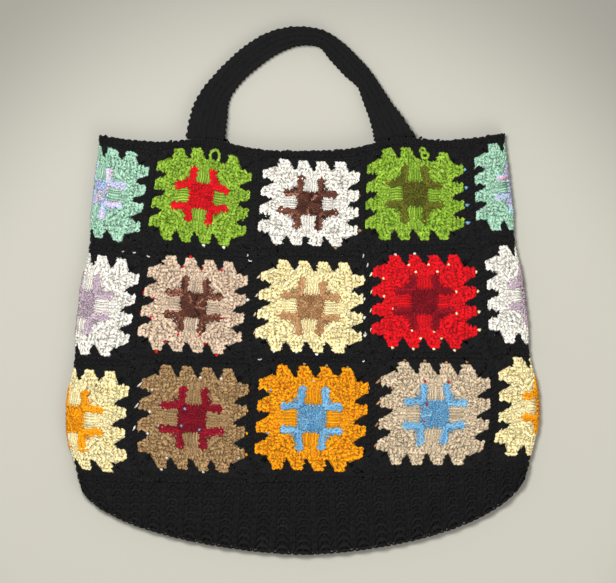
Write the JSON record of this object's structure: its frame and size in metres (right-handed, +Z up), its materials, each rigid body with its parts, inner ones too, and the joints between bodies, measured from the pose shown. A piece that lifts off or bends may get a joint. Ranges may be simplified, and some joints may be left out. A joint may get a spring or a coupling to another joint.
{
  "type": "granny square crochet tote bag",
  "caption": "Flat-lying soft tote bag crocheted from coloured granny squares joined in black, with a ribbed black base and two black strap handles.",
  "frame": {"origin": "on the surface the bag lies on, under the middle of its bounding box", "axes": "+X across the bag to the right, +Y from the base towards the handles, +Z up from the surface through the front face"},
  "size_m": [0.4498, 0.5026, 0.0225],
  "materials": {
    "yarn_black": "matt wool-like yarn",
    "yarn_mint": "matt wool-like yarn",
    "yarn_lime": "matt wool-like yarn",
    "yarn_white": "matt wool-like yarn",
    "yarn_beige": "matt wool-like yarn",
    "yarn_cream": "matt wool-like yarn",
    "yarn_red": "matt wool-like yarn",
    "yarn_camel": "matt wool-like yarn",
    "yarn_orange": "matt wool-like yarn",
    "yarn_taupe": "matt wool-like yarn",
    "yarn_pastel": "matt variegated yarn",
    "yarn_brown": "matt variegated yarn",
    "yarn_olive": "matt wool-like yarn",
    "yarn_milk_brown": "matt wool-like yarn",
    "yarn_maroon": "matt wool-like yarn",
    "yarn_lavender": "matt wool-like yarn",
    "yarn_burgundy": "matt wool-like yarn",
    "yarn_blue": "matt wool-like yarn",
    "yarn_scarlet": "matt wool-like yarn"
  },
  "bodies": {
    "root": {"field_bottom_front_left": "yarn_camel", "centre_bottom_front_left": "yarn_burgundy", "field_bottom_front_middle": "yarn_orange", "centre_bottom_front_middle": "yarn_blue", "field_bottom_front_right": "yarn_taupe", "centre_bottom_front_right": "yarn_blue", "field_bottom_side_right": "yarn_cream", "centre_bottom_side_right": "yarn_orange", "field_bottom_back_right": "yarn_camel", "centre_bottom_back_right": "yarn_burgundy", "field_bottom_back_middle": "yarn_beige", "centre_bottom_back_middle": "yarn_brown", "field_bottom_back_left": "yarn_white", "centre_bottom_back_left": "yarn_blue", "field_bottom_side_left": "yarn_cream", "centre_bottom_side_left": "yarn_orange", "field_middle_front_left": "yarn_beige", "centre_middle_front_left": "yarn_brown", "field_middle_front_middle": "yarn_cream", "centre_middle_front_middle": "yarn_milk_brown", "field_middle_front_right": "yarn_red", "centre_middle_front_right": "yarn_maroon", "field_middle_side_right": "yarn_white", "centre_middle_side_right": "yarn_lavender", "field_middle_back_right": "yarn_cream", "centre_middle_back_right": "yarn_milk_brown", "field_middle_back_middle": "yarn_lime", "centre_middle_back_middle": "yarn_scarlet", "field_middle_back_left": "yarn_red", "centre_middle_back_left": "yarn_maroon", "field_middle_side_left": "yarn_white", "centre_middle_side_left": "yarn_lavender", "field_top_front_left": "yarn_lime", "centre_top_front_left": "yarn_scarlet", "field_top_front_middle": "yarn_white", "centre_top_front_middle": "yarn_brown", "field_top_front_right": "yarn_lime", "centre_top_front_right": "yarn_olive", "field_top_side_right": "yarn_mint", "centre_top_side_right": "yarn_pastel", "field_top_back_right": "yarn_red", "centre_top_back_right": "yarn_white", "field_top_back_middle": "yarn_orange", "centre_top_back_middle": "yarn_olive", "field_top_back_left": "yarn_taupe", "centre_top_back_left": "yarn_burgundy", "field_top_side_left": "yarn_mint", "centre_top_side_left": "yarn_pastel", "net_front": "yarn_black", "net_back": "yarn_black", "edging_front": "yarn_black", "edging_back": "yarn_black", "base_front": "yarn_black", "base_back": "yarn_black", "handle_front": "yarn_black", "handle_back": "yarn_black"}
  },
  "joints": []
}
